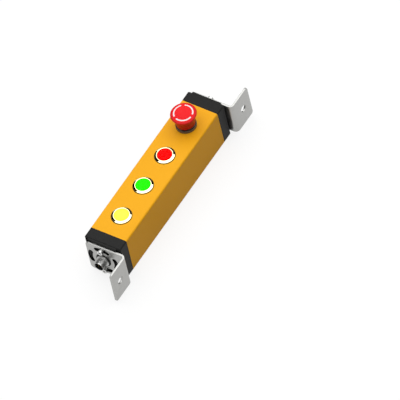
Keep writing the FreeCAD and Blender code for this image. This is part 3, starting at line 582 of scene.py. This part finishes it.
# %% [markdown]
# ## Long corners of the box
# The real box has tight corners, and a wide round shows as a soft band of light along them.
# The solids already have their holes and screw ports, so their meshes are copied and only the
# arcs of the four long corners are drawn in. Every point keeps its angle on its arc, so the
# direction that the surface faces there stays the same. The normals that came with the solid
# are therefore read first and put back at the end. Towards the chamfer at the end of a cap the
# skin lies nearer to the middle of its arc, and the test for points on the skin allows for it.

# %% Draw in the long corners
CORNER, DRAWN_IN, CAP_END, CAP_EDGE, TOUCH = 4.0, 1.9, 111.0, 1.2, 0.05
AXIS_Y = MIDDLE / MM
TURN_Y = (box_high.y - box_low.y) / MM / 2 - CORNER
TURN_Z = box_high.z / MM - CORNER


def drawn_in(spot):
    """Where a point goes that lies on the skin of a long corner. Others stay."""
    x, y, z = spot / MM
    y -= AXIS_Y
    arm = Vector((abs(y) - TURN_Y, abs(z) - TURN_Z))
    cut = max(0.0, abs(x) - CAP_END + CAP_EDGE)
    if min(arm) < -TOUCH or abs(arm.length + cut - CORNER) > TOUCH:
        return spot
    arm = arm * (1 - DRAWN_IN / arm.length) + Vector((DRAWN_IN, DRAWN_IN))
    return Vector((x, AXIS_Y + math.copysign(TURN_Y + arm.x, y),
                   math.copysign(TURN_Z + arm.y, z))) * MM


TIGHTENED = {"housing_profile": ("box_profile", "orange_powder_coat"),
             "end_cap_near": ("box_cap_near", "black_moulding"),
             "end_cap_far": ("box_cap_far", "black_moulding"),
             "gasket_near": ("box_gasket_near", "black_rubber"),
             "gasket_far": ("box_gasket_far", "black_rubber")}
for node, (name, slot) in TIGHTENED.items():
    mesh = frame["nodes"][node].data.copy()
    mesh.name = name
    normals = [corner.vector.copy() for corner in mesh.corner_normals]
    for vertex in mesh.vertices:
        vertex.co = drawn_in(vertex.co.copy())
    mesh.normals_split_custom_set(normals)
    piece = bpy.data.objects.new(name, mesh)
    bpy.context.scene.collection.objects.link(piece)
    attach(piece, frame["nodes"][node]["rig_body"])
    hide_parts(node)
    print(name, "keeps the", len(mesh.vertices), "points of", node)

# %% [markdown]
# ## Turned pieces
# Most visible details are turned: rings, lenses, screw heads, the plug and the mushroom head.
# Blender's Screw modifier could spin an outline, but building the rings of vertices directly
# lets a ring also be six sided or knurled, which gives sockets and grips for free. Corners
# are rounded in the outline itself, so that every edge is real geometry.

# %% Round the corners of an outline
SIDE_SHARE, FEWEST_STEPS, MORE_STEPS = 0.48, 3, 6


def rounded(corners, closed):
    """An outline of (radius, height, kind) from corners of (radius, height, rounding, kind)."""
    spots = [Vector(corner[:2]) for corner in corners]
    outline = []
    for index, (corner, spot) in enumerate(zip(corners, spots)):
        rounding, kind = (*corner, "round")[2:4]
        ends = index in (0, len(spots) - 1) and not closed
        if not rounding or ends:
            outline.append((spot.x, spot.y, kind))
            continue
        before, after = spots[index - 1] - spot, spots[(index + 1) % len(spots)] - spot
        half = before.angle(after) / 2
        reach = min(rounding / math.tan(half), SIDE_SHARE * before.length,
                    SIDE_SHARE * after.length)
        centre = spot + (before.normalized() + after.normalized()).normalized() * (
            reach / math.cos(half))
        start, stop = spot + before.normalized() * reach, spot + after.normalized() * reach
        steps = FEWEST_STEPS + int(MORE_STEPS * (1 - half / (math.pi / 2)))
        for step in range(steps + 1):
            arrow = (start - centre).lerp(stop - centre, step / steps).normalized()
            on_arc = centre + arrow * (start - centre).length
            outline.append((on_arc.x, on_arc.y, kind))
    return outline


def ridges(radius, low, high, pitch, depth):
    """The corners of a screw thread's outline, from low to high."""
    count = round(abs(high - low) / pitch)
    step = (high - low) / count
    return [corner for turn in range(count) for corner in (
        (radius - depth, low + turn * step, 0), (radius, low + (turn + 0.45) * step, 0.1))]


print("a thread has", len(ridges(6, 0, 6, 1, 0.3)), "corners")

# %% [markdown]
# Spinning the outline gives rings of vertices, joined by quads. A ring on the axis shrinks to
# a single vertex, and its quads become triangles. Small pieces get fewer vertices to a ring.
# A hair is the room between faces that would otherwise touch.

# %% Spin an outline into a mesh
SEGMENTS, PLUG_SEGMENTS, SCREW_SEGMENTS, PIN_SEGMENTS = 96, 72, 48, 24
HAIR, KNURL, ON_AXIS = 0.03, 0.955, 1e-4


def swung(kind, radius, turn, segments):
    """A ring's radius at one of its vertices, for round, six sided and knurled rings."""
    if kind == "six":
        angle = (turn * 2 * math.pi / segments) % (math.pi / 3) - math.pi / 6
        return radius / math.cos(angle)
    return radius * (KNURL if kind == "knurl" and turn % 2 else 1.0)


def spin(mesh, corners, closed=False, place=Matrix(), segments=SEGMENTS):
    """Adds the turned solid of an outline, in millimetres, to a mesh."""
    rings = []
    for radius, height, kind in rounded(corners, closed):
        if radius < ON_AXIS:
            rings.append([mesh.verts.new(place @ Vector((0, 0, height * MM)))] * segments)
            continue
        ring = []
        for turn in range(segments):
            angle = 2 * math.pi * turn / segments
            reach = swung(kind, radius, turn, segments) * MM
            spot = Vector((reach * math.cos(angle), reach * math.sin(angle), height * MM))
            ring.append(mesh.verts.new(place @ spot))
        rings.append(ring)
    for low, high in zip(rings, rings[1:] + (rings[:1] if closed else [])):
        for turn in range(segments):
            loop = dict.fromkeys((low[turn], low[turn - 1], high[turn - 1], high[turn]))
            if len(loop) > 2:
                mesh.faces.new(loop)


def block(mesh, low, high, rounding):
    """Adds a box with rounded edges, from corner to corner in millimetres."""
    made = bmesh.ops.create_cube(mesh, size=1)["verts"]
    middle, size = (Vector(low) + Vector(high)) / 2 * MM, (Vector(high) - Vector(low)) * MM
    for vertex in made:
        vertex.co = middle + Vector(a * b for a, b in zip(vertex.co, size))
    edges = {edge for vertex in made for edge in vertex.link_edges}
    bmesh.ops.bevel(mesh, geom=list(edges), offset=rounding * MM, segments=2,
                    affect="EDGES", profile=0.5)


print(SEGMENTS, "vertices to a ring")

# %% [markdown]
# A finished mesh becomes an object in one place only, so that every piece is shaded the same
# way, says which body it rides on and hides the solids it stands for.

# %% Settle a piece on the frame
def settle(name, mesh, place, finish, body, stands_for=(), sharp=38):
    """Makes the object, lays it in place, puts it on its body and hides the solids it stands for.
    """
    bmesh.ops.recalc_face_normals(mesh, faces=mesh.faces)
    data = bpy.data.meshes.new(name)
    mesh.to_mesh(data)
    mesh.free()
    data.shade_smooth()
    data.set_sharp_from_angle(angle=math.radians(sharp))
    data.materials.append(finish)
    piece = bpy.data.objects.new(name, data)
    bpy.context.scene.collection.objects.link(piece)
    piece.matrix_world = place
    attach(piece, body)
    if stands_for:
        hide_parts(*stands_for)
    print(name, "rides on", body, "with", len(data.polygons), "faces")
    return piece


def on_front(x):
    """The place of a device on the front, with its axis upright."""
    return Matrix.Translation((x, MIDDLE, FRONT))


# %% [markdown]
# ## The lit pushbuttons
# A polished ring holds each button in its hole. Its top is flat, its flank slopes to a thin
# foot on a black seal, and its threaded barrel goes through the hole to a nut. The slope
# matters most: it decides what the metal mirrors, and so where the dark crescents fall. The
# seal is half a millimetre wider than the metal, and its black rim is a painted shadow: it
# draws the dark line of contact shadow round the ring's foot.

# %% Rings round the buttons
RING = [(8.8, 2.0, 0.12), (9.5, 2.0, 0.4), (11.45, 0.96, 0.2), (11.55, 0.35, 0.05),
        (9.45, 0.35, 0), (9.45, 0.0, 0), *ridges(9.45, -2.0, -12.5, 1.5, 0.5),
        (9.1, -13.0, 0), (8.4, -13.0, 0), (8.4, -1.9, 0), (8.8, -1.9, 0)]
# Painted shadow: the seal reaches past the metal to draw a dark line round the ring.
SEAL = [(9.5, 0.0, 0), (12.1, 0.0, 0), (12.1, 0.3, 0.12), (11.7, 0.45, 0.05), (9.5, 0.36, 0)]
for colour in LIT:
    ring, seal = bmesh.new(), bmesh.new()
    spin(ring, RING, closed=True)
    spin(seal, SEAL, closed=True)
    settle(f"{colour}_ring", ring, on_front(DEVICES[f"{colour}_bezel"]),
           FINISHES["polished_ring"], "housing", [f"{colour}_bezel"])
    settle(f"{colour}_ring_seal", seal, on_front(DEVICES[f"{colour}_bezel"]),
           FINISHES["black_rubber"], "housing")

# %% [markdown]
# The lens is the part that the finger pushes, so it rides on its own body. Its face is
# slightly domed with a soft rim, its lip goes down into the wider mouth of the ring, and a
# square light guide leads from it to the lamp.

# %% Lenses with their light guides
DOME_RISE, LENS_EDGE = 0.45, 1.95


def dome(radius, top, rise, steps):
    """Corners of a shallow dome from its rim to the middle."""
    return [(radius * (1 - step / steps), top - rise * (1 - step / steps) ** 2, 0)
            for step in range(1, steps + 1)]


LENS = [(0, -3.0, 0), (LENS_SKIRT, -3.0, 0.2), (LENS_SKIRT, 0.2, 0.1),
        (LENS_RADIUS, 0.2, 0.1), (LENS_RADIUS, LENS_EDGE, 0.4),
        *dome(LENS_RADIUS, LENS_EDGE + DOME_RISE, DOME_RISE, 12)]
for colour in LIT:
    lens = bmesh.new()
    spin(lens, LENS)
    block(lens, (-2.5, -2.5, -11.0), (2.5, 2.5, -2.6), 0.25)
    settle(f"{colour}_lens_and_guide", lens, on_front(DEVICES[f"{colour}_bezel"]),
           FINISHES[f"{colour}_lens"], f"{colour}_button", [f"{colour}_lens"])

# %% [markdown]
# ## The mushroom head
# The head is hollow. Its straight neck slides down into the collar and flares softly towards
# a thin rim, and the crown is a shallow dome. The inside has to be there too, because the
# spring and the stem sit in it. Faces that would lie flat on a part of another body keep a
# hair's breadth away, so that nothing rubs when the joints move. The polished ring beside it
# would mirror the red head, so the head is kept out of reflections: there the black card is
# to show.

# %% Head
CROWN_RADIUS, CROWN_TOP, CROWN_RISE = 14.6, 24.0, 1.9
CROWN_EDGE = CROWN_RADIUS - 0.35


def crown(radius):
    """Height of the crown over the panel at a radius."""
    return CROWN_TOP - CROWN_RISE * (radius / CROWN_RADIUS) ** 2


HEAD = [(0, 21.0 + HAIR, 0), (3.55, 21.0 + HAIR, 0), (3.55, 19.0 + HAIR, 0.3),
        (9.55, 19.0 + HAIR, 0.8),
        (9.55, 5.6, 0.3), (11.15, 5.6, 0.5), (11.15, 8.5, 12), (12.9, 15.5, 20),
        (14.1, 20.2, 1.5), (15.0, 20.85, 0.3), (15.0, 21.75, 0.8),
        (CROWN_EDGE, crown(CROWN_EDGE), 1.2),
        *dome(CROWN_RADIUS, CROWN_TOP, CROWN_RISE, 20)[1:]]
head_mesh = bmesh.new()
spin(head_mesh, HEAD)
mushroom = settle("mushroom_head", head_mesh, on_front(DEVICES["stop_knob"]),
                  FINISHES["red_knob"], "stop_head", ["stop_knob"])
mushroom.visible_glossy = False

# %% [markdown]
# Three white arcs are printed on the crown and show which way the head turns to let go. They
# could be painted by the shader, but a thin raised strip keeps a crisp edge and stays right
# in every view. It follows the dome, and is only as thick as a coat of paint.

# %% White arcs on the crown
ARC_OUTER, ARC_INNER, ARC_SWEEP, ARC_PITCH, FIRST_GAP = 11.5, 9.95, 99.0, 120, 33.0
PAINT, ROOT = 0.05, 0.25
marks = bmesh.new()
section = [(ARC_INNER, -ROOT), (ARC_INNER, PAINT), ((ARC_INNER + ARC_OUTER) / 2, PAINT),
           (ARC_OUTER, PAINT), (ARC_OUTER, -ROOT)]
ARC_STEPS = 48
for gap in range(360 // ARC_PITCH):
    start = FIRST_GAP + ARC_PITCH * gap + (ARC_PITCH - ARC_SWEEP) / 2
    slices = []
    for step in range(ARC_STEPS + 1):
        angle = math.radians(start + ARC_SWEEP * step / ARC_STEPS)
        slices.append([marks.verts.new(Vector((
            radius * math.cos(angle), radius * math.sin(angle), crown(radius) + lift)) * MM)
            for radius, lift in section])
    for one, two in zip(slices, slices[1:]):
        for spot in range(len(section)):
            marks.faces.new((one[spot - 1], one[spot], two[spot], two[spot - 1]))
    marks.faces.new(slices[0])
    marks.faces.new(slices[-1][::-1])
settle("head_marks", marks, on_front(DEVICES["stop_knob"]), print_white.material, "stop_head")

# %% [markdown]
# The brownish collar stays on the panel while the head goes down into it. Collar, inner sleeve and
# threaded barrel are one moulding, so they are one piece here too.

# %% Collar and barrel
COLLAR = [(11.9, 0.4, 0.1), (11.9, 3.6, 0.2), (11.45, 3.6, 0.12), (11.45, 1.2, 0.1),
          (9.2, 1.2, 0.1), (9.2, 9.0, 0.3), (7.0, 9.0, 0.3), (7.0, -HAIR, 0), (3.8, -HAIR, 0.2),
          (3.8, -16.0, 0), (7.6, -16.0, 0), *ridges(8.0, -15.5, -2.0, 1.5, 0.5), (8.0, -1.2, 0),
          (8.0, 0.4, 0)]
collar = bmesh.new()
spin(collar, COLLAR, closed=True)
settle("collar_and_barrel", collar, on_front(DEVICES["stop_knob"]),
       COLLAR_PLASTIC, "housing", ["stop_barrel"])

# %% [markdown]
# The spring stands on the barrel's floor and pushes the head up. The solid is a square wire,
# which is quick to cut; the real one is round. It rides with the stem as a whole, with a mesh
# of its own, though the real one's foot stays on the floor when the head is pressed.

# %% Return spring
COIL_RADIUS, WIRE, TURNS, SPRING_TOP, TRAVEL = 5.8, 0.9, 3.0, 19.0, 4.0
spring = bmesh.new()
COIL_STEPS, WIRE_SIDES = 144, 10
loops = []
for step in range(COIL_STEPS + 1):
    share = step / COIL_STEPS
    angle = 2 * math.pi * TURNS * share
    height = WIRE / 2 + (SPRING_TOP - WIRE - HAIR) * share
    outward = Vector((math.cos(angle), math.sin(angle), 0))
    centre = outward * COIL_RADIUS + Vector((0, 0, height))
    loops.append([])
    for side in range(WIRE_SIDES):
        turn = 2 * math.pi * side / WIRE_SIDES
        bend = outward * math.cos(turn) + Vector((0, 0, 1)) * math.sin(turn)
        loops[-1].append(spring.verts.new((centre + bend * WIRE / 2) * MM))
for one, two in zip(loops, loops[1:]):
    for side in range(WIRE_SIDES):
        spring.faces.new((one[side - 1], one[side], two[side], two[side - 1]))
spring.faces.new(loops[0])
spring.faces.new(loops[-1][::-1])
coil = settle("return_spring", spring, on_front(DEVICES["stop_knob"]), SCREW_STEEL.material,
              "stop_plunger", ["stop_spring"])
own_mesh(coil)

# %% [markdown]
# ## The plug
# The round plug points along the box, so its outline is spun about an axis that is laid over:
# its own upright becomes the box's length. The shell has a flange, a fine thread and a key in
# its bore, and four round pins stand in it.

# %% Plug shell and pins
plug_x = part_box("end_cap_near")[0].x
along_box = Matrix(((0, 0, -1), (0, 1, 0), (1, 0, 0))).to_4x4()
plug_place = Matrix.Translation((plug_x, MIDDLE, 0)) @ along_box
SHELL = [(4.4, -14.3, 0), (5.6, -14.3, 0), *ridges(6.0, -13.9, -0.9, 1.0, 0.35), (6.0, -0.4, 0),
         (6.0, 0.0, 0), (7.7, 0.0, 0), (7.7, 1.5, 0.3), (6.1, 1.5, 0.1), (5.8, 1.9, 0.1),
         (5.8, 2.7, 0.1), *ridges(6.0, 3.0, 9.0, 1.0, 0.1), (6.0, 9.3, 0.1),
         (5.75, 10.2, 0.12), (5.5, 10.2, 0.08), (5.4, 10.0, 0.05), (5.4, 2.6, 0),
         (4.4, 2.2, 0)]
shell = bmesh.new()
spin(shell, SHELL, closed=True, segments=PLUG_SEGMENTS)
block(shell, (-0.5, 4.1, 2.7), (0.5, 5.5, 9.5), 0.12)
settle("plug_threaded_shell", shell, plug_place, FINISHES["nickel_plated_brass"],
       "housing", ["plug_shell"])

PIN_SPOT = 2.0
PIN = [(0, 2.2, 0), (0.48, 2.2, 0), (0.48, 7.9, 0.32), (0, 7.9, 0)]
pins = bmesh.new()
for x in (-PIN_SPOT, PIN_SPOT):
    for y in (-PIN_SPOT, PIN_SPOT):
        spin(pins, PIN, place=Matrix.Translation((x * MM, y * MM, 0)), segments=PIN_SEGMENTS)
settle("plug_round_pins", pins, plug_place, FINISHES["gold_contacts"],
       "housing", ["plug_pins"])

# %% [markdown]
# The insert that holds the pins has a thin black skirt along the bore. It keeps the metal from
# the pins, and as painted shade its black lining makes the open end of the plug a dark hole.

# %% Skirt of the plug's insert
SKIRT = [(4.02, 2.65, 0), (5.35, 2.65, 0), (5.35, 9.9, 0.08), (5.0, 9.9, 0.12)]
skirt = bmesh.new()
spin(skirt, SKIRT, closed=True, segments=PLUG_SEGMENTS)
settle("plug_insert_skirt", skirt, plug_place, FINISHES["black_moulding"],
       "housing")

# %% [markdown]
# ## Clamp screws
# Two socket screws at each end hold the bracket. A real one has a knurled head with a
# chamfered rim and a six sided socket, and all of that is in its outline: some of the rings
# are knurled, and the rings of the socket are six sided.

# %% Socket screws at both ends
SCREW = [(0, -9.0, 0), (1.6, -9.0, 0), *ridges(2.0, -8.7, -0.7, 0.7, 0.25), (2.0, HAIR, 0),
         (3.4, HAIR, 0), (3.5, 0.3, 0, "knurl"), (3.5, 3.3, 0, "knurl"), (3.45, 3.45, 0),
         (3.3, 3.85, 0.25), (2.9, 4.0, 0.2), (2.0, 4.0, 0.1), (1.55, 3.8, 0, "six"),
         (1.5, 3.7, 0, "six"), (1.5, 1.8, 0, "six"), (0, 1.4, 0)]
SEAT, SCREW_HEAD_RADIUS = 4.0, 3.5
against_box = Matrix(((0, 0, 1), (0, 1, 0), (-1, 0, 0))).to_4x4()
for end, turn in (("near", along_box), ("far", against_box)):
    node = f"clamp_screws_{end}"
    low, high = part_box(node)
    seat_x = low.x + SEAT * MM if end == "near" else high.x - SEAT * MM
    reach = high.z - SCREW_HEAD_RADIUS * MM
    screws = bmesh.new()
    for z in (-reach, reach):
        spin(screws, SCREW, place=Matrix.Translation((seat_x, MIDDLE, z)) @ turn,
             segments=SCREW_SEGMENTS)
    settle(f"socket_screws_{end}", screws, Matrix(), SCREW_STEEL.material,
           frame["nodes"][node]["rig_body"], [node])

# %% [markdown]
# ## Brackets
# A bracket starts as a flat blank, punched from sheet with its eye, slots and bolt hole, and
# is then folded. The same is done here. A flat curve with holes in it, thickened and with its
# edges rounded, gives the blank far more easily than cutting holes in a mesh would. The blank
# is then cut across where it will bend, so that there are edges to bend along, and each vertex
# is carried round the fold.

# %% Outline of the flat blank
THICK, INNER_BEND, EDGE = 2.5, 3.0, 0.22
plate_low, plate_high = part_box("bracket_far")
SEAT_X, TIP_X = plate_low.x / MM, plate_high.x / MM
TOP_Y, HALF_HEIGHT = plate_high.y / MM, plate_high.z / MM
OUTER_BEND = INNER_BEND + THICK
FLAT = TOP_Y - OUTER_BEND
BEND = (INNER_BEND + THICK / 2) * math.pi / 2
BLANK = FLAT + BEND + TIP_X - SEAT_X - OUTER_BEND
EYE, SLOT_CIRCLE, SLOT_WIDTH, SLOT_SWEEP = 9.35, 17.0, 5.6, 25.0
RAIL_BOLT, BOLT_FROM_TIP = 4.5, 14.0
TAIL_ROUND, TIP_ROUND = 4, 3
WELD, CUTS = 0.002, 10


def arc(centre, radius, start, stop, steps):
    """Points along an arc, with its angles in degrees."""
    angles = [math.radians(start + (stop - start) * k / steps) for k in range(steps + 1)]
    return [(centre[0] + radius * math.cos(a), centre[1] + radius * math.sin(a)) for a in angles]


eye_at = (TOP_Y - AXIS_Y, 0)
holes = [arc(eye_at, EYE, 0, 360, 72)[:-1],
         arc((BLANK - BOLT_FROM_TIP, 0), RAIL_BOLT, 0, 360, 48)[:-1]]
for middle in (0, 90, 180, 270):
    first, last = middle - SLOT_SWEEP, middle + SLOT_SWEEP
    ends = [arc(eye_at, SLOT_CIRCLE, angle, angle, 1)[0] for angle in (first, last)]
    holes.append(arc(eye_at, SLOT_CIRCLE + SLOT_WIDTH / 2, first, last, 14)[:-1]
                 + arc(ends[1], SLOT_WIDTH / 2, last, last + 180, 10)[:-1]
                 + arc(eye_at, SLOT_CIRCLE - SLOT_WIDTH / 2, last, first, 12)[:-1]
                 + arc(ends[0], SLOT_WIDTH / 2, first + 180, first + 360, 10)[:-1])
corners = []
for x, y, radius, start in ((0, -1, TAIL_ROUND, 180), (BLANK, -1, TIP_ROUND, 270),
                            (BLANK, 1, TIP_ROUND, 0), (0, 1, TAIL_ROUND, 90)):
    inset = radius if x == 0 else -radius
    corners += arc((x + inset, y * (HALF_HEIGHT - radius)), radius, start, start + 90, 10)
print("blank", round(BLANK, 2), "mm long with", len(holes), "holes")

# %% [markdown]
# Folding keeps the length of the sheet's middle layer. Before the bend a point only slides
# along the plate, in the bend its distance becomes an angle, and behind it the point lies on
# the flange.

# %% Thicken the blank and fold it
def folded(along, lift):
    """(outward, upright) of a point of the blank, by its distance and its height in the sheet."""
    if along <= FLAT:
        return SEAT_X + lift, TOP_Y - along
    if along >= FLAT + BEND:
        return SEAT_X + OUTER_BEND + along - FLAT - BEND, lift
    angle = (along - FLAT) / BEND * math.pi / 2
    radius = OUTER_BEND - lift
    return (SEAT_X + OUTER_BEND - radius * math.cos(angle),
            OUTER_BEND - radius * math.sin(angle))


def blank_mesh():
    """The flat blank with rounded edges, in millimetres, cut across where it bends."""
    curve = bpy.data.curves.new("blank", "CURVE")
    curve.dimensions, curve.fill_mode = "2D", "BOTH"
    curve.extrude, curve.bevel_depth = THICK / 2 - EDGE - HAIR, EDGE
    curve.bevel_resolution, curve.offset = 2, -EDGE
    for loop in [corners, *holes]:
        spline = curve.splines.new("POLY")
        spline.points.add(len(loop) - 1)
        for point, spot in zip(spline.points, loop):
            point.co = (*spot, 0, 1)
        spline.use_cyclic_u = True
    holder = bpy.data.objects.new("blank", curve)
    bpy.context.scene.collection.objects.link(holder)
    shape = holder.evaluated_get(bpy.context.evaluated_depsgraph_get())
    flat = bpy.data.meshes.new_from_object(shape)
    mesh = bmesh.new()
    mesh.from_mesh(flat)
    bpy.data.objects.remove(holder)
    bpy.data.curves.remove(curve)
    bpy.data.meshes.remove(flat)
    bmesh.ops.remove_doubles(mesh, verts=mesh.verts, dist=WELD)
    for cut in range(CUTS + 1):
        bmesh.ops.bisect_plane(mesh, geom=[*mesh.verts, *mesh.edges, *mesh.faces],
                               plane_co=(FLAT + BEND * cut / CUTS, 0, 0), plane_no=(1, 0, 0))
    return mesh


for end, side in (("near", -1), ("far", 1)):
    bracket = blank_mesh()
    for vertex in bracket.verts:
        along, high, lift = vertex.co
        out, upright = folded(along, lift + THICK / 2)
        vertex.co = Vector((side * out, upright, high)) * MM
    settle(f"folded_bracket_{end}", bracket, Matrix(), FINISHES["plated_steel"],
           frame["nodes"][f"bracket_{end}"]["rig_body"], [f"bracket_{end}"],
           sharp=15)
